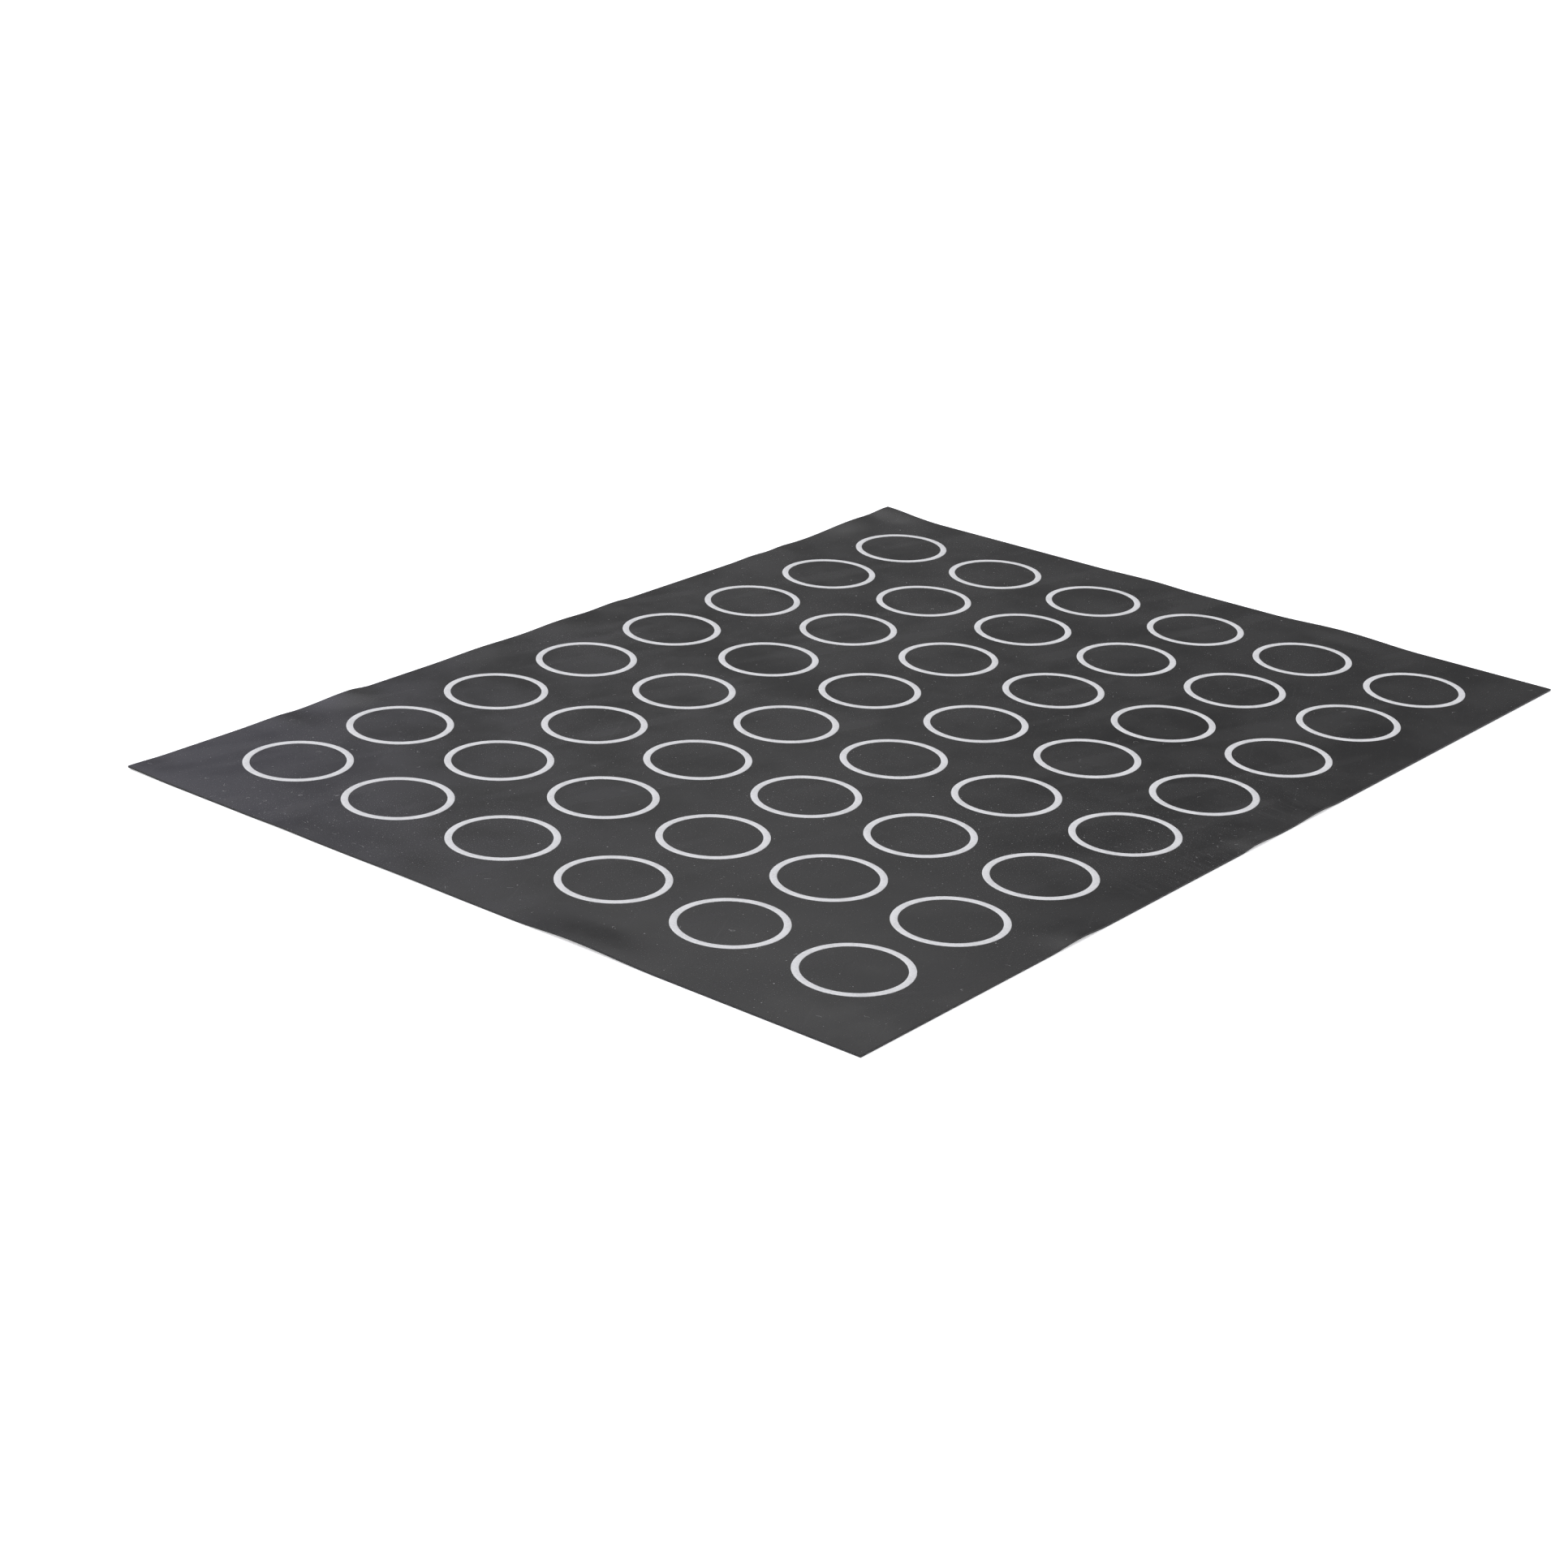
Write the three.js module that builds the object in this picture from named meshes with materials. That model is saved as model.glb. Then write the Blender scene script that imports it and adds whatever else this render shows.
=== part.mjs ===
// Baking mat: woven glass cloth coated on both faces with black silicone, trimmed to a
// rectangle and printed on top with light rings that mark where to pipe each round.
// Millimetres, +Z up. The origin is the middle of the underside, with +X along the long
// edges and +Y along the short ones, so +Z leaves the printed face.

import * as THREE from "three";

// Printed rings, in a square grid
const RING_COLUMNS = 8;
const RING_ROWS = 6;
const RING_PITCH = 46;
const RING_DIAMETER = 33.6; // across the middle of the printed line
const RING_LINE = 2.3; // width of the printed line
const RING_FILM = 0.08; // height of the ink above the coat
const RING_SIDES = 24;

// Trim, from the centres of the outer rings to the cut edges. The print lies a little
// off the middle of the sheet, towards the right.
const LEFT_MARGIN = 41.5;
const RIGHT_MARGIN = 36.5;
const SIDE_MARGIN = 35; // to the long edges, front and back

// Laminate, from the underside up
const BASE_COAT = 0.25;
const GLASS_CLOTH = 0.2;
const TOP_COAT = 0.25;

// Ripples stay in a band along the cut edge, clear of the rings
const RIPPLE_CLEARANCE = 1.3; // flat coat left between the band and the nearest ring
const BAND_STRIPS = 2; // strips of facets across the band
const EDGE_STEP = 9; // facet length along the cut edge

const COAT_LOOK = { color: 0x1b1b1c, roughness: 0.55, metalness: 0 };
const CLOTH_LOOK = { color: 0x5e5d59, roughness: 0.8, metalness: 0 };
const INK_LOOK = { color: 0xd8d9d8, roughness: 0.5, metalness: 0 };

// Sizes that follow: the mat is trimmed to its pattern of rings, 400 by 300
const matLength = LEFT_MARGIN + (RING_COLUMNS - 1) * RING_PITCH + RIGHT_MARGIN;
const matWidth = (RING_ROWS - 1) * RING_PITCH + 2 * SIDE_MARGIN;
const halfLength = matLength / 2;
const halfWidth = matWidth / 2;
const ringOuter = (RING_DIAMETER + RING_LINE) / 2;
const ringInner = (RING_DIAMETER - RING_LINE) / 2;
const leastMargin = Math.min(LEFT_MARGIN, RIGHT_MARGIN, SIDE_MARGIN);
const rippleBand = leastMargin - ringOuter - RIPPLE_CLEARANCE;
const clothBottom = BASE_COAT;
const clothTop = clothBottom + GLASS_CLOTH;
const printFace = clothTop + TOP_COAT;

// For each edge, how far a point lies in from it and how far along it from its middle
const edges = {
  left: (x, y) => ({ inward: x + halfLength, along: y }),
  right: (x, y) => ({ inward: halfLength - x, along: y }),
  front: (x, y) => ({ inward: y + halfWidth, along: x }),
  back: (x, y) => ({ inward: halfWidth - y, along: x }),
};

// Where the edge stands up off the table: each ripple's crest, by its place along the edge,
// the length of the slopes before and after it, and its height. Two corners curl up.
const ripples = [
  { edge: "left", crest: -44, before: 34, after: 24, height: 0.88 },
  { edge: "left", crest: 24, before: 26, after: 26, height: 0.2 },
  { edge: "left", crest: 78, before: 18, after: 16, height: 0.2 },
  { edge: "left", crest: halfWidth, before: 22, after: 22, height: 0.4 },
  { edge: "front", crest: -96, before: 16, after: 15, height: 0.65 },
  { edge: "front", crest: 1, before: 9, after: 17, height: 0.68 },
  { edge: "front", crest: 39, before: 18, after: 15, height: 0.6 },
  { edge: "right", crest: -66, before: 32, after: 32, height: 1 },
  { edge: "right", crest: 20, before: 20, after: 26, height: 0.45 },
  { edge: "right", crest: halfWidth, before: 28, after: 28, height: 1.4 },
  { edge: "back", crest: -135, before: 20, after: 8, height: 0.3 },
  { edge: "back", crest: -103, before: 24, after: 10, height: 0.85 },
  { edge: "back", crest: -40, before: 24, after: 22, height: 0.35 },
  { edge: "back", crest: 2, before: 20, after: 20, height: 0.45 },
  { edge: "back", crest: 32, before: 18, after: 10, height: 0.4 },
  { edge: "back", crest: 113, before: 14, after: 10, height: 0.3 },
  { edge: "back", crest: 131, before: 9, after: 11, height: 0.3 },
  { edge: "back", crest: 178, before: 34, after: 34, height: 1.25 },
];

// A smooth swell, 1 at t = 0 and level with the flat at t = 1
function swell(t) {
  return Math.abs(t) < 1 ? Math.cos((Math.PI * t) / 2) ** 2 : 0;
}

function lift(x, y) {
  let height = 0;
  for (const ripple of ripples) {
    const { inward, along } = edges[ripple.edge](x, y);
    const offset = along - ripple.crest;
    const slope = offset < 0 ? ripple.before : ripple.after;
    height += ripple.height * swell(offset / slope) * swell(inward / rippleBand);
  }
  return height;
}

// Points of the cut edge, anticlockwise seen from above, with one at each corner
function cutEdge() {
  const corners = [
    new THREE.Vector2(-halfLength, -halfWidth),
    new THREE.Vector2(halfLength, -halfWidth),
    new THREE.Vector2(halfLength, halfWidth),
    new THREE.Vector2(-halfLength, halfWidth),
  ];
  return corners.flatMap((corner, i) => {
    const side = new THREE.LineCurve(corner, corners[(i + 1) % corners.length]);
    const steps = Math.max(1, Math.round(side.getLength() / EDGE_STEP));
    return side.getPoints(steps).slice(0, steps);
  });
}

// One layer of the laminate between two levels, which both follow the ripples. Each face
// has loops of points from the cut edge in to the flat, and a fan that fills the flat.
// Layers share the points and the diagonals of the faces where they are bonded.
function layerGeometry(low, high) {
  const rim = cutEdge();
  const loops = BAND_STRIPS + 1;
  const positions = [];
  for (const level of [low, high]) {
    for (let loop = 0; loop < loops; loop++) {
      const inset = (loop / BAND_STRIPS) * rippleBand;
      for (const point of rim) {
        const x = point.x * (1 - inset / halfLength);
        const y = point.y * (1 - inset / halfWidth);
        positions.push(x, y, level + lift(x, y));
      }
    }
    positions.push(0, 0, level);
  }

  const facePoints = loops * rim.length + 1;
  const under = (loop, i) => loop * rim.length + (i % rim.length);
  const over = (loop, i) => facePoints + under(loop, i);
  const underMiddle = facePoints - 1;
  const overMiddle = underMiddle + facePoints;
  const triangles = [];
  const quad = (a, b, c, d) => triangles.push(a, b, c, a, c, d);
  for (let i = 0; i < rim.length; i++) {
    const next = i + 1;
    quad(under(0, i), under(0, next), over(0, next), over(0, i));
    for (let loop = 0; loop < BAND_STRIPS; loop++) {
      quad(over(loop, i), over(loop, next), over(loop + 1, next), over(loop + 1, i));
      quad(under(loop, i), under(loop + 1, i), under(loop + 1, next), under(loop, next));
    }
    triangles.push(over(BAND_STRIPS, i), over(BAND_STRIPS, next), overMiddle);
    triangles.push(under(BAND_STRIPS, next), under(BAND_STRIPS, i), underMiddle);
  }

  const geometry = new THREE.BufferGeometry();
  geometry.setAttribute("position", new THREE.Float32BufferAttribute(positions, 3));
  geometry.setIndex(triangles);
  geometry.computeVertexNormals();
  return geometry;
}

function layer(name, low, high, look) {
  const mesh = new THREE.Mesh(
    layerGeometry(low, high),
    new THREE.MeshStandardMaterial(look),
  );
  mesh.name = name;
  return mesh;
}

// A printed ring: the section of its ink film, turned about the ring's own axis
function ringGeometry() {
  const section = [
    new THREE.Vector2(ringInner, 0),
    new THREE.Vector2(ringOuter, 0),
    new THREE.Vector2(ringOuter, RING_FILM),
    new THREE.Vector2(ringInner, RING_FILM),
    new THREE.Vector2(ringInner, 0),
  ];
  return new THREE.LatheGeometry(section, RING_SIDES).rotateX(Math.PI / 2);
}

// Rows count from the back edge and columns from the left edge
function printedRings() {
  const rings = new THREE.Group();
  for (let row = 0; row < RING_ROWS; row++) {
    for (let column = 0; column < RING_COLUMNS; column++) {
      const ring = new THREE.Mesh(
        ringGeometry(),
        new THREE.MeshStandardMaterial(INK_LOOK),
      );
      ring.name = `ring_r${row + 1}_c${column + 1}`;
      ring.position.set(
        LEFT_MARGIN - halfLength + column * RING_PITCH,
        halfWidth - SIDE_MARGIN - row * RING_PITCH,
        printFace,
      );
      rings.add(ring);
    }
  }
  return rings;
}

const bakingMat = new THREE.Group();
bakingMat.add(
  layer("base_coat", 0, clothBottom, COAT_LOOK),
  layer("glass_cloth", clothBottom, clothTop, CLOTH_LOOK),
  layer("top_coat", clothTop, printFace, COAT_LOOK),
  printedRings(),
);

export default bakingMat;
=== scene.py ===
import math

import bmesh
import bpy
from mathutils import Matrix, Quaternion, Vector


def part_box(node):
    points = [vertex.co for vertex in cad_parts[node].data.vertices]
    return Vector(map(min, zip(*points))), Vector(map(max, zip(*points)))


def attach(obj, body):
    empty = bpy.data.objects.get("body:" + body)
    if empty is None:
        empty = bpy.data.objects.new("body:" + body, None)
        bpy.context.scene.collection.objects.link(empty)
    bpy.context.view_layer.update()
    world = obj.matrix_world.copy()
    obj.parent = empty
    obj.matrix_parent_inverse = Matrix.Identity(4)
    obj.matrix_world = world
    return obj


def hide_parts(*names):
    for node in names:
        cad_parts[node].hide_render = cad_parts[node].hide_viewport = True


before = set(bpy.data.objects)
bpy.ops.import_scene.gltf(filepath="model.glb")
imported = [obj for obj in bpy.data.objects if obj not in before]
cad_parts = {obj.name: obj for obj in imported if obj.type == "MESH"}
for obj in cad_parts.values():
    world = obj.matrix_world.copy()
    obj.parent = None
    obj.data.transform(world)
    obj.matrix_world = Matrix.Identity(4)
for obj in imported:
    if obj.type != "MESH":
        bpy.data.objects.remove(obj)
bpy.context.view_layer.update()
print("frame loaded,", len(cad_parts), "nodes")


# small tools for shader trees

def addNode(tree, kind, inputs=None, **settings):
    node = tree.nodes.new("ShaderNode" + kind)
    for name, value in settings.items():
        setattr(node, name, value)
    for socket, value in (inputs or {}).items():
        if isinstance(value, bpy.types.NodeSocket):
            tree.links.new(value, node.inputs[socket])
        else:
            node.inputs[socket].default_value = value
    return node


def calc(tree, operation, first, second=0.0):
    return addNode(tree, "Math", {0: first, 1: second}, operation=operation).outputs[0]


def times(tree, first, second):
    return calc(tree, "MULTIPLY", first, second)


def fade(tree, value, start, end, low=0.0, high=1.0):
    # goes smoothly from low to high as the value goes from start to end
    inputs = {"Value": value, "From Min": start, "From Max": end, "To Min": low, "To Max": high}
    return addNode(tree, "MapRange", inputs, interpolation_type="SMOOTHSTEP").outputs["Result"]


def mixColor(tree, factor, first, second):
    inputs = {"Factor": factor}
    for index, color in ((6, first), (7, second)):  # A and B of the colour mix
        inputs[index] = color if isinstance(color, bpy.types.NodeSocket) else (*color, 1.0)
    return addNode(tree, "Mix", inputs, data_type="RGBA").outputs[2]


def noise(tree, vector, size, detail=2.0, rough=0.5):
    inputs = {"Vector": vector, "Scale": 1 / size, "Detail": detail, "Roughness": rough}
    return addNode(tree, "TexNoise", inputs, noise_dimensions="2D").outputs["Fac"]


def bump(tree, height, depth, under=None):
    inputs = {"Height": height, "Strength": 1.0, "Distance": depth}
    if under is not None:
        inputs["Normal"] = under
    return addNode(tree, "Bump", inputs).outputs["Normal"]


def newMaterial(name):
    material = bpy.data.materials.new(name)
    material.use_nodes = True
    tree = material.node_tree
    return material, tree, tree.nodes["Principled BSDF"]


def objectPlace(tree):
    return addNode(tree, "TexCoord").outputs["Object"]


def finishSurface(tree, shader, color, roughness, normal, ior):
    tree.links.new(color, shader.inputs["Base Color"])
    tree.links.new(roughness, shader.inputs["Roughness"])
    tree.links.new(normal, shader.inputs["Normal"])
    shader.inputs["IOR"].default_value = ior


# patterns on the mat

patterns = {
    "weavePitch": 0.0008,  # from yarn to yarn
    "weaveCrimp": 0.35,  # how far a yarn rises over the one that it crosses
    "leastSpeck": 0.35,  # radius of the smallest speck, as a share of the largest
    "speckCore": 0.5,  # share of a speck's radius that is covered in full
    "lintLevel": 0.57,  # the noise level whose contours are the fibres
    "lintCore": 0.4,  # share of a fibre's width that is covered in full
    "lintReach": 0.6,  # largest radius of a piece of lint, in curls
    "streakRise": 0.12,  # noise levels from a streak's rim to its middle
    "spotCore": 0.2,  # share of a spot's radius that counts in full
}
midNoise = (0.3, 0.7)  # most of a noise lies between these levels
siliconeIor = 1.41


def weaveHeight(tree, place):
    # plain weave: yarns go over and under in turn, and the higher one shows
    split = addNode(tree, "SeparateXYZ", {"Vector": place})
    halfTurn = math.pi / patterns["weavePitch"]
    sinX = calc(tree, "SINE", times(tree, split.outputs["X"], halfTurn))
    sinY = calc(tree, "SINE", times(tree, split.outputs["Y"], halfTurn))
    crossing = times(tree, times(tree, sinX, sinY), patterns["weaveCrimp"])
    warp = calc(tree, "ADD", calc(tree, "ABSOLUTE", sinX), crossing)
    weft = calc(tree, "SUBTRACT", calc(tree, "ABSOLUTE", sinY), crossing)
    return calc(tree, "MAXIMUM", warp, weft)


def speckMask(tree, place, cell, radius, share):
    # a speck in some cells of a random mosaic, each with its own size
    inputs = {"Vector": place, "Scale": 1 / cell}
    mosaic = addNode(tree, "TexVoronoi", inputs, voronoi_dimensions="2D")
    chance = addNode(tree, "SeparateXYZ", {"Vector": mosaic.outputs["Color"]})
    kept = calc(tree, "LESS_THAN", chance.outputs["X"], share)
    least = patterns["leastSpeck"] * radius / cell
    reach = fade(tree, chance.outputs["Y"], 0.0, 1.0, least, radius / cell)
    core = times(tree, reach, patterns["speckCore"])
    return times(tree, kept, fade(tree, mosaic.outputs["Distance"], reach, core))


def lintMask(tree, place, cell, curl, width, share):
    # short stretches of the winding contours of a smooth noise, in some cells
    field = calc(tree, "SUBTRACT", noise(tree, place, curl, 0.0), patterns["lintLevel"])
    line = fade(tree, calc(tree, "ABSOLUTE", field), width, width * patterns["lintCore"])
    return times(tree, line, speckMask(tree, place, cell, patterns["lintReach"] * curl, share))


def streakMask(tree, place, turn, length, width, level):
    # a noise drawn out along one direction, of which only the peaks show
    inputs = {"Vector": place, "Rotation": (0, 0, turn), "Scale": (length, width, 1)}
    drawn = addNode(tree, "Mapping", inputs, vector_type="TEXTURE").outputs["Vector"]
    return fade(tree, noise(tree, drawn, 1.0, 1.0), level, level + patterns["streakRise"])


def nearPlaces(tree, place, spots):
    # 1 in the middle of each round spot, fading to 0 at its rim
    total = 0.0
    for x, y, radius in spots:
        inputs = {0: place, 1: (x, y, 0)}
        away = addNode(tree, "VectorMath", inputs, operation="DISTANCE").outputs["Value"]
        total = calc(tree, "ADD", fade(tree, away, radius, patterns["spotCore"] * radius), total)
    return total


# silicone coats

topCoatLook = {
    "black": (0.0105, 0.0103, 0.0108),
    "cloudy": (0.0165, 0.016, 0.0165),
    "clouds": (0.045, 4.0, 0.6),  # size, detail and roughness of a noise, here and below
    "mottle": (0.0005, 1.0),
    "cloudFade": (0.75, 1.25),
    "dust": (0.42, 0.42, 0.41),
    "drifts": (0.05, 2.0),
    "driftShare": (0.35, 0.7, 0.06, 0.34),  # from and to in the noise, share of cells with a speck there
    "dustyPlaces": [  # x, y, radius
        (-0.193, 0.08, 0.045), (-0.165, 0.035, 0.05), (-0.05, -0.085, 0.055), (-0.02, -0.125, 0.045),
    ],
    "dustyShare": 0.55,  # added to the share in the middle of those places
    "specks": [  # cell, radius of the largest, gain on the share, cover
        (0.0011, 0.00015, 1.8, 0.16),
        (0.0042, 0.00024, 1.0, 0.42),
        (0.013, 0.00036, 0.6, 0.55),
    ],
    "lint": (0.0045, 0.0022, 0.035),  # cell, curl, width in noise levels
    "lintyPlaces": [(-0.196, 0.083, 0.045), (-0.012, -0.13, 0.035)],
    "lintShare": (0.03, 0.7),  # away from those places and in them
    "lintCover": 0.36,
    "dustSlope": (0.6, 0.9),  # dust stays on what faces up this much
    "scuff": (0.07, 0.07, 0.07),
    "scratches": [  # turn, length, width, noise level, as in the two below
        (0.45, 0.05, 0.0005, 0.74),
        (-0.8, 0.04, 0.0005, 0.75),
    ],
    "rubs": (1.33, 0.02, 0.0006, 0.6),
    "smears": (-0.25, 0.08, 0.012, 0.58),
    "scuffedPlaces": [(-0.032, -0.141, 0.04), (0.035, -0.135, 0.03), (-0.06, -0.06, 0.03)],
    "scratchCover": 0.3,
    "smearCover": 0.03,
    "haze": (0.03, 5.0, 0.6),
    "rough": (0.16, 0.27),
    "smearRough": 0.05,
    "dustRough": 0.6,
    "waves": (0.06, 2.0),
    "waveDepth": 0.0003,
    "weaveDepth": 0.000005,
}


def dustMask(tree, place):
    # dust lies all over and gathers in places, with lint among it
    look = topCoatLook
    drifts = fade(tree, noise(tree, place, *look["drifts"]), *look["driftShare"])
    dusty = times(tree, nearPlaces(tree, place, look["dustyPlaces"]), look["dustyShare"])
    share = calc(tree, "ADD", drifts, dusty)
    dust = 0.0
    for cell, radius, gain, cover in look["specks"]:
        specks = speckMask(tree, place, cell, radius, times(tree, share, gain))
        dust = calc(tree, "MAXIMUM", times(tree, specks, cover), dust)
    linty = nearPlaces(tree, place, look["lintyPlaces"])
    lint = lintMask(tree, place, *look["lint"], fade(tree, linty, 0.0, 1.0, *look["lintShare"]))
    dust = calc(tree, "MAXIMUM", times(tree, lint, look["lintCover"]), dust)
    normal = addNode(tree, "NewGeometry").outputs["Normal"]
    upward = addNode(tree, "SeparateXYZ", {"Vector": normal}).outputs["Z"]
    return times(tree, dust, fade(tree, upward, *look["dustSlope"]))


def scratchMask(tree, place):
    # wiping leaves thin scratches, and short rubs where the mat is handled
    look = topCoatLook
    rubbed = nearPlaces(tree, place, look["scuffedPlaces"])
    scratches = times(tree, rubbed, streakMask(tree, place, *look["rubs"]))
    for streaks in look["scratches"]:
        scratches = calc(tree, "MAXIMUM", scratches, streakMask(tree, place, *streaks))
    return scratches


def topCoatMaterial():
    look = topCoatLook
    material, tree, shader = newMaterial("satinBlackSilicone")
    place = objectPlace(tree)
    dust = dustMask(tree, place)
    scratched = times(tree, scratchMask(tree, place), look["scratchCover"])
    smears = streakMask(tree, place, *look["smears"])

    clouds = calc(tree, "ADD", noise(tree, place, *look["clouds"]), noise(tree, place, *look["mottle"]))
    color = mixColor(tree, fade(tree, clouds, *look["cloudFade"]), look["black"], look["cloudy"])
    color = mixColor(tree, dust, color, look["dust"])
    worn = calc(tree, "ADD", scratched, times(tree, smears, look["smearCover"]))
    color = mixColor(tree, worn, color, look["scuff"])

    roughness = fade(tree, noise(tree, place, *look["haze"]), *midNoise, *look["rough"])
    roughness = calc(tree, "ADD", roughness, times(tree, smears, look["smearRough"]))
    roughness = calc(tree, "ADD", roughness, times(tree, dust, look["dustRough"]))

    waves = bump(tree, noise(tree, place, *look["waves"]), look["waveDepth"])
    normal = bump(tree, weaveHeight(tree, place), look["weaveDepth"], waves)
    finishSurface(tree, shader, color, roughness, normal, siliconeIor)
    return material


baseCoatLook = {
    "black": (0.011, 0.011, 0.0115),
    "worn": (0.02, 0.0195, 0.019),
    "wear": (0.03, 5.0, 0.65),
    "wearFade": (0.4, 0.75),
    "rough": (0.5, 0.62),
    "weaveDepth": 0.00004,
}


def baseCoatMaterial():
    look = baseCoatLook
    material, tree, shader = newMaterial("mattBlackSilicone")
    place = objectPlace(tree)
    wear = noise(tree, place, *look["wear"])
    color = mixColor(tree, fade(tree, wear, *look["wearFade"]), look["black"], look["worn"])
    roughness = fade(tree, wear, *midNoise, *look["rough"])
    normal = bump(tree, weaveHeight(tree, place), look["weaveDepth"])
    finishSurface(tree, shader, color, roughness, normal, siliconeIor)
    return material


# glass cloth, seen as yarn ends along the cut

clothLook = {
    "soaked": (0.03, 0.03, 0.03),
    "yarnEnd": (0.17, 0.17, 0.16),
    "yarnFade": (0.7, 1.1),
    "fray": (0.002, 3.0),
    "frayFade": (0.4, 0.65),
    "rough": (0.55, 0.75),
    "weaveDepth": 0.00005,
    "ior": 1.5,
}


def clothMaterial():
    look = clothLook
    material, tree, shader = newMaterial("soakedGlassCloth")
    place = objectPlace(tree)
    yarns = weaveHeight(tree, place)
    fray = noise(tree, place, *look["fray"])
    bright = times(tree, fade(tree, yarns, *look["yarnFade"]), fade(tree, fray, *look["frayFade"]))
    color = mixColor(tree, bright, look["soaked"], look["yarnEnd"])
    roughness = fade(tree, fray, *midNoise, *look["rough"])
    finishSurface(tree, shader, color, roughness, bump(tree, yarns, look["weaveDepth"]), look["ior"])
    return material


# the three layers of the sheet, lying with rippled edges

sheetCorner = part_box("top_coat")[1]
sheet = {
    "halfLength": sheetCorner.x,
    "halfWidth": sheetCorner.y,
    "baseThick": 0.00025,
    "clothThick": 0.0002,
    "topThick": 0.00025,
    "cell": 0.003125,
    "rim": 0.00006,  # rounding of the coats' outer edges
    "rimSegments": 2,
    "crispAngle": math.radians(15),  # edges that fold more than this stay crisp
    "rippleBand": 0.01575,  # ripples fade out this far in from the cut edge
    "ripples": [  # edge, crest along it, slope before and after the crest, height
        ("left", -0.044, 0.034, 0.024, 0.00088),
        ("left", 0.024, 0.026, 0.026, 0.0002),
        ("left", 0.078, 0.018, 0.016, 0.0002),
        ("left", sheetCorner.y, 0.022, 0.022, 0.0004),  # this corner curls up a little
        ("front", -0.096, 0.016, 0.015, 0.00065),
        ("front", 0.001, 0.009, 0.017, 0.00068),
        ("front", 0.039, 0.018, 0.015, 0.0006),
        ("right", -0.066, 0.032, 0.032, 0.001),
        ("right", 0.020, 0.020, 0.026, 0.00045),
        ("right", sheetCorner.y, 0.028, 0.028, 0.0014),  # and this one more
        ("back", -0.135, 0.020, 0.008, 0.0003),
        ("back", -0.103, 0.024, 0.010, 0.00085),
        ("back", -0.040, 0.024, 0.022, 0.00035),
        ("back", 0.002, 0.020, 0.020, 0.00045),
        ("back", 0.032, 0.018, 0.010, 0.0004),
        ("back", 0.113, 0.014, 0.010, 0.0003),
        ("back", 0.131, 0.009, 0.011, 0.0003),
        ("back", 0.178, 0.034, 0.034, 0.00125),
    ],
}


def swell(t):
    return math.cos(math.pi * t / 2) ** 2 if abs(t) < 1 else 0.0


def lift(x, y):
    inward = {
        "left": x + sheet["halfLength"],
        "right": sheet["halfLength"] - x,
        "front": y + sheet["halfWidth"],
        "back": sheet["halfWidth"] - y,
    }
    height = 0.0
    for edge, crest, before, after, top in sheet["ripples"]:
        offset = (y if edge in ("left", "right") else x) - crest
        slope = before if offset < 0 else after
        height += top * swell(offset / slope) * swell(inward[edge] / sheet["rippleBand"])
    return height


def shadeSmooth(bm, crispAngle):
    for face in bm.faces:
        face.smooth = True
    for edge in bm.edges:
        edge.smooth = edge.calc_face_angle(0) < crispAngle


def toObject(bm, name, material):
    bmesh.ops.recalc_face_normals(bm, faces=bm.faces[:])
    mesh = bpy.data.meshes.new(name)
    bm.to_mesh(mesh)
    bm.free()
    mesh.materials.append(material)
    piece = bpy.data.objects.new(name, mesh)
    bpy.context.scene.collection.objects.link(piece)
    return piece


def makeLayer(name, low, thickness, material, outerSide=None):
    bm = bmesh.new()
    columns = round(2 * sheet["halfLength"] / sheet["cell"])
    rows = round(2 * sheet["halfWidth"] / sheet["cell"])
    bmesh.ops.create_grid(bm, x_segments=columns, y_segments=rows, size=1)
    bmesh.ops.scale(bm, vec=(sheet["halfLength"], sheet["halfWidth"], 1), verts=bm.verts[:])
    for vert in bm.verts:
        vert.co.z = low + lift(vert.co.x, vert.co.y)
    raised = bmesh.ops.extrude_face_region(bm, geom=bm.faces[:])["geom"]
    topVerts = [item for item in raised if isinstance(item, bmesh.types.BMVert)]
    bmesh.ops.translate(bm, vec=(0, 0, thickness), verts=topVerts)
    bmesh.ops.recalc_face_normals(bm, faces=bm.faces[:])
    if outerSide:
        above = set(topVerts)
        rim = [
            edge for edge in bm.edges
            if edge.calc_face_angle(0) > sheet["crispAngle"]
            and all((vert in above) == (outerSide == "top") for vert in edge.verts)
        ]
        bmesh.ops.bevel(
            bm, geom=rim, offset=sheet["rim"], affect="EDGES", segments=sheet["rimSegments"],
            profile=0.5, material=-1,
        )
    shadeSmooth(bm, sheet["crispAngle"])
    return toObject(bm, name, material)


clothLow = sheet["baseThick"]
topLow = clothLow + sheet["clothThick"]
baseCoat = makeLayer("baseCoat", 0.0, sheet["baseThick"], baseCoatMaterial(), outerSide="bottom")
glassCloth = makeLayer("glassCloth", clothLow, sheet["clothThick"], clothMaterial())
topCoat = makeLayer("topCoat", topLow, sheet["topThick"], topCoatMaterial(), outerSide="top")
print("layers made,", len(topCoat.data.polygons), "faces in a coat")


# printed rings

inkLook = {
    "ink": (0.7, 0.705, 0.7),
    "thin": (0.615, 0.62, 0.615),
    "blotch": (0.006, 4.0, 0.6),
    "speckle": (0.0007, 1.0),
    "inkFade": (0.7, 1.15),
    "rough": (0.42, 0.55),
    "weaveDepth": 0.00002,
}
ringPrint = {
    "line": 0.0023,
    "shoulder": 0.00015,  # width over which the film rises at its edges
    "bend": (0.3, 0.7),  # where the shoulder bends, as shares of its width and of the film's height
    "steps": 96,
    "weld": 0.0000001,
    "crispAngle": math.radians(60),
}


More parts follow.
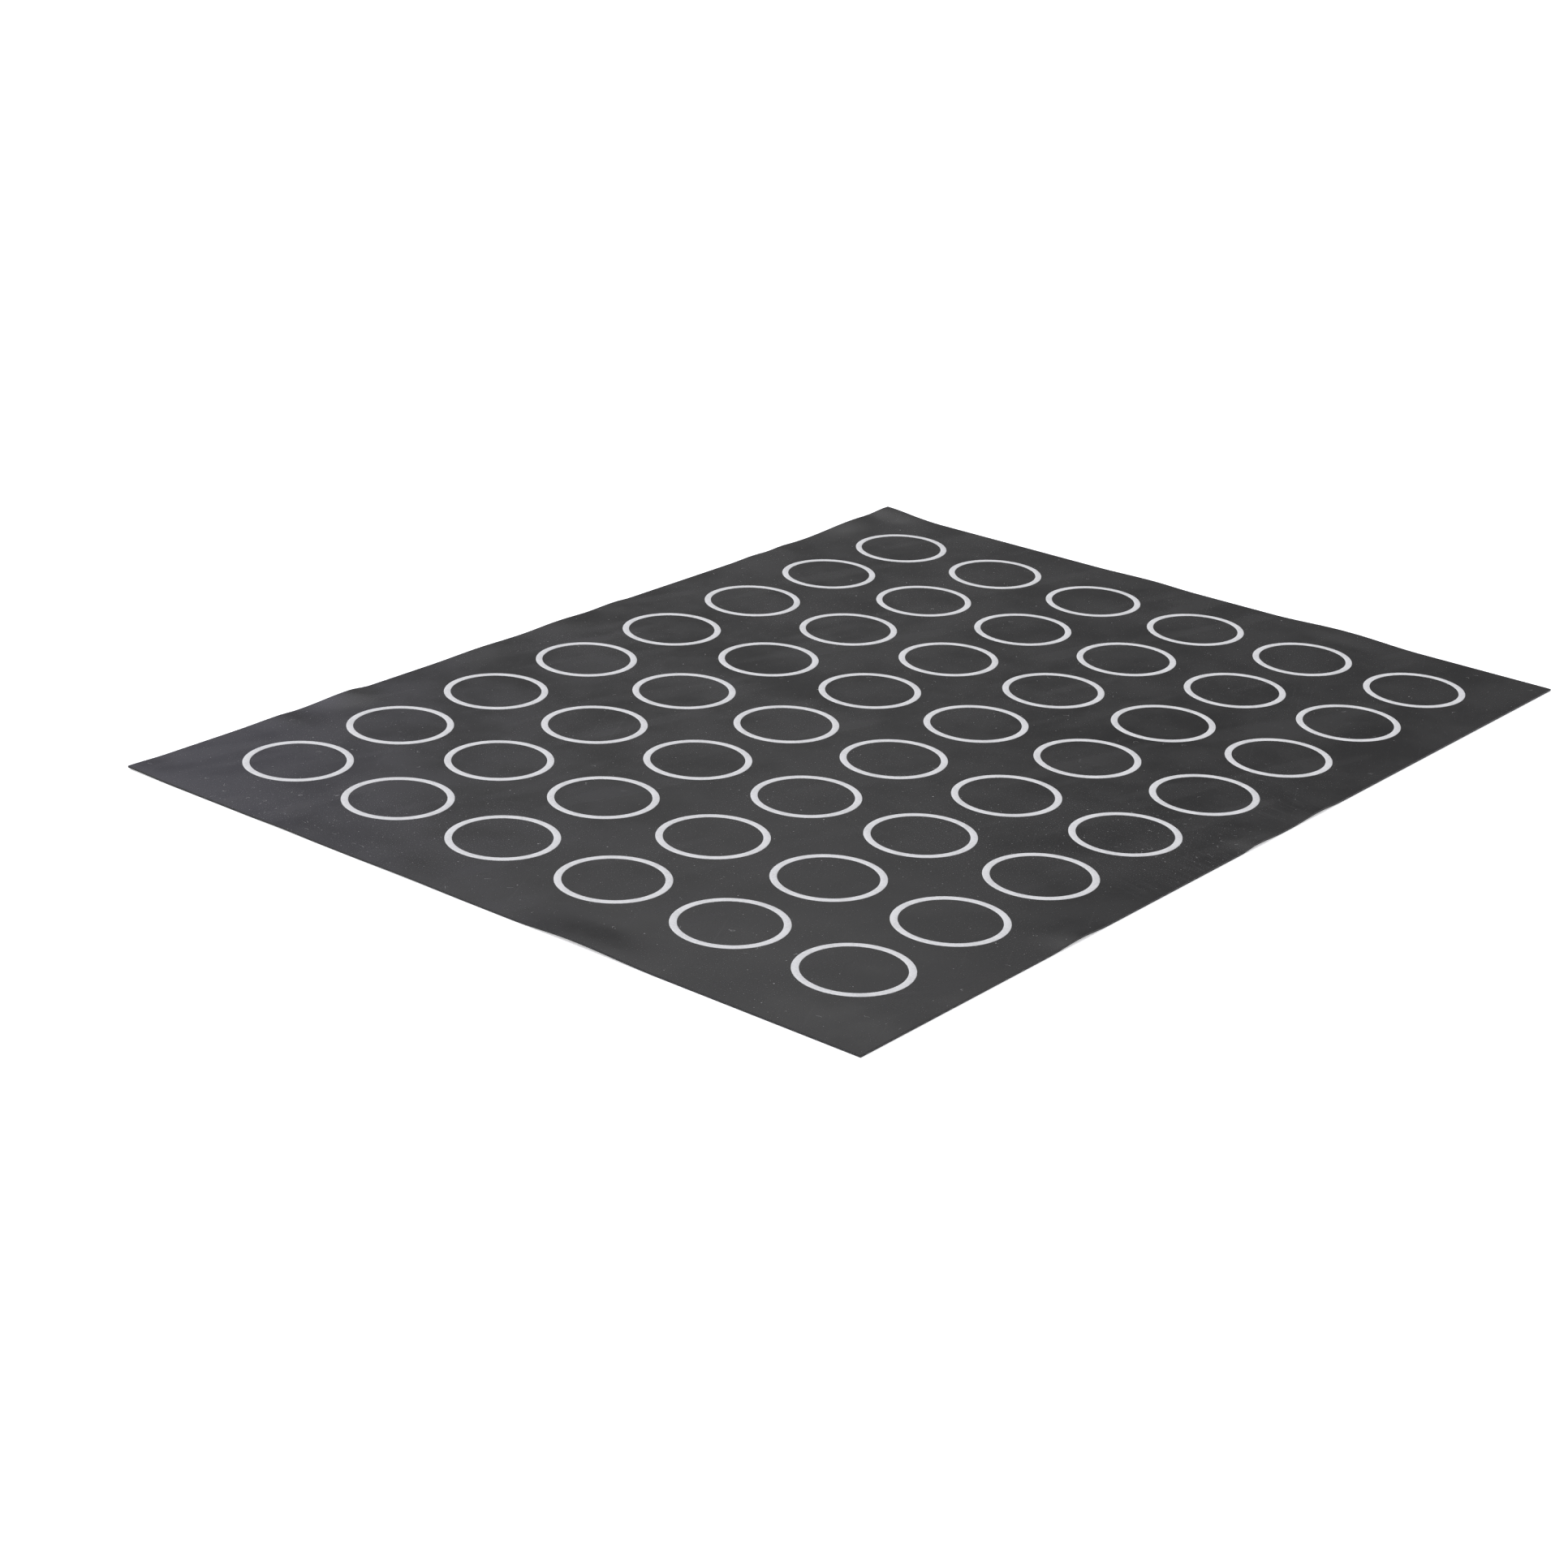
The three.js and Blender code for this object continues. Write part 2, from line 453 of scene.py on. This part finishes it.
def inkMaterial():
    look = inkLook
    material, tree, shader = newMaterial("ringInk")
    place = objectPlace(tree)
    blotch = noise(tree, place, *look["blotch"])
    speckle = calc(tree, "ADD", blotch, noise(tree, place, *look["speckle"]))
    color = mixColor(tree, fade(tree, speckle, *look["inkFade"]), look["thin"], look["ink"])
    roughness = fade(tree, blotch, *midNoise, *look["rough"])
    normal = bump(tree, weaveHeight(tree, place), look["weaveDepth"])
    finishSurface(tree, shader, color, roughness, normal, siliconeIor)
    return material


def makeRing(name, material):
    low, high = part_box(name)
    centre = (low + high) / 2
    outer = (high.x - low.x) / 2
    inner = outer - ringPrint["line"]
    film = high.z - low.z
    shoulder = ringPrint["shoulder"]
    bendIn = ringPrint["bend"][0] * shoulder
    bendUp = ringPrint["bend"][1] * film
    section = [
        (inner, 0), (inner + bendIn, bendUp), (inner + shoulder, film),
        (outer - shoulder, film), (outer - bendIn, bendUp), (outer, 0),
    ]
    bm = bmesh.new()
    verts = [bm.verts.new((centre.x + r, centre.y, low.z + z)) for r, z in section]
    edges = [bm.edges.new((verts[i - 1], verts[i])) for i in range(len(verts))]
    bmesh.ops.spin(
        bm, geom=verts + edges, cent=(centre.x, centre.y, 0), axis=(0, 0, 1),
        angle=math.tau, steps=ringPrint["steps"], use_merge=True,
    )
    bmesh.ops.remove_doubles(bm, verts=bm.verts[:], dist=ringPrint["weld"])
    shadeSmooth(bm, ringPrint["crispAngle"])
    return toObject(bm, name.replace("ring_", "ring."), material)


ringInk = inkMaterial()
ringNames = sorted(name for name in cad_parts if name.startswith("ring_"))
rings = {name: makeRing(name, ringInk) for name in ringNames}
print("rings printed,", len(rings))


# who stands for what

def standFor(piece, node):
    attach(piece, "root")
    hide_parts(node)


layers = {"base_coat": baseCoat, "glass_cloth": glassCloth, "top_coat": topCoat}
for node, layer in layers.items():
    standFor(layer, node)
for node, ring in rings.items():
    standFor(ring, node)

print("pieces declared,", len(layers) + len(rings))


# floor, light and camera

plainWhite = (1.0, 1.0, 1.0)
floorSet = {
    "half": 40.0,
    "drop": 0.0001,
    "white": (0.95, 0.95, 0.95),
    "glow": 0.45,  # seen by the camera alone: a white floor, with a light shadow under the ripples
}


def makeFloor():
    material, tree, shader = newMaterial("paleFloor")
    shader.inputs["Base Color"].default_value = (*floorSet["white"], 1.0)
    shader.inputs["Roughness"].default_value = 1.0
    shader.inputs["Specular IOR Level"].default_value = 0.0
    shader.inputs["Emission Color"].default_value = (*plainWhite, 1.0)
    seen = addNode(tree, "LightPath").outputs["Is Camera Ray"]
    tree.links.new(times(tree, seen, floorSet["glow"]), shader.inputs["Emission Strength"])
    bm = bmesh.new()
    bmesh.ops.create_grid(bm, x_segments=1, y_segments=1, size=floorSet["half"])
    bmesh.ops.translate(bm, vec=(0, 0, -floorSet["drop"]), verts=bm.verts[:])
    toObject(bm, "floor", material)


studio = {
    "byHeight": [  # sine of the height above the horizon, brightness
        (0.00, 0.60), (0.10, 0.37), (0.22, 0.24), (0.34, 0.15), (0.37, 0.26), (0.39, 0.33),
        (0.41, 0.41), (0.44, 0.84), (0.47, 0.97), (0.52, 0.88), (0.62, 0.97), (1.00, 1.33),
    ],
    "peak": 1.35,  # brightness at the ramp's full white
    "leftward": (-0.634, 0.772, 0.0),  # to the camera's left
    "dimRight": (-0.045, -0.12),  # the right is dimmer, from and to along leftward
    "dimHeight": (0.32, 0.36),  # but not close to the horizon
    "dimBy": 0.52,
    "brightLeft": (0.09, 0.19, 1.0, 1.75),  # from and to along leftward, and the gains there
    "coolPatch": (0.98, 0.965, 1.12),  # a patch of cooler light, left of the middle
    "coolStart": (0.09, 0.14),
    "coolEnd": (0.5, 0.3),
}


def makeLight():
    world = bpy.data.worlds.new("softStudio")
    world.use_nodes = True
    bpy.context.scene.world = world
    tree = world.node_tree
    toward = addNode(tree, "TexCoord").outputs["Generated"]
    height = addNode(tree, "SeparateXYZ", {"Vector": toward}).outputs["Z"]
    inputs = {0: toward, 1: studio["leftward"]}
    side = addNode(tree, "VectorMath", inputs, operation="DOT_PRODUCT").outputs["Value"]

    ramp = addNode(tree, "ValToRGB", {"Fac": height})
    stops = ramp.color_ramp.elements
    while len(stops) < len(studio["byHeight"]):
        stops.new(0.5)  # anywhere between the ends, as its place is set next
    for stop, (position, level) in zip(stops, studio["byHeight"]):
        stop.position = position
        stop.color = (*[level / studio["peak"]] * 3, 1.0)

    dim = times(tree, fade(tree, side, *studio["dimRight"]), fade(tree, height, *studio["dimHeight"]))
    right = calc(tree, "SUBTRACT", 1.0, times(tree, dim, studio["dimBy"]))
    gain = times(tree, right, fade(tree, side, *studio["brightLeft"]))
    strength = times(tree, times(tree, ramp.outputs["Color"], gain), studio["peak"])
    cool = times(tree, fade(tree, side, *studio["coolStart"]), fade(tree, side, *studio["coolEnd"]))
    tint = mixColor(tree, cool, plainWhite, studio["coolPatch"])
    lit = tree.nodes["Background"]
    tree.links.new(strength, lit.inputs["Strength"])
    tree.links.new(tint, lit.inputs["Color"])

    # past the floor the camera sees plain white, and everything else sees the studio
    plain = addNode(tree, "Background", {"Color": (*plainWhite, 1.0), "Strength": 1.0})
    seen = addNode(tree, "LightPath").outputs["Is Camera Ray"]
    inputs = {0: seen, 1: lit.outputs["Background"], 2: plain.outputs["Background"]}
    both = addNode(tree, "MixShader", inputs)
    tree.links.new(both.outputs["Shader"], tree.nodes["World Output"].inputs["Surface"])


viewpoint = {
    "location": Vector((-0.82618, -0.61993, 0.39209)),
    "aim": Vector((-0.0633, -0.0111, 0.00074)),
    "roll": math.radians(2.16),
    "lens": 74.61,
}


def makeCamera():
    lens = bpy.data.cameras.new("photoCamera")
    lens.lens = viewpoint["lens"]
    camera = bpy.data.objects.new("photoCamera", lens)
    camera.location = viewpoint["location"]
    gaze = (viewpoint["aim"] - viewpoint["location"]).to_track_quat("-Z", "Y")
    camera.rotation_mode = "QUATERNION"
    camera.rotation_quaternion = gaze @ Quaternion((0, 0, 1), viewpoint["roll"])
    bpy.context.scene.collection.objects.link(camera)
    bpy.context.scene.camera = camera


makeFloor()
makeLight()
makeCamera()
bpy.context.scene.view_settings.view_transform = "Standard"
print("floor, light and camera set")
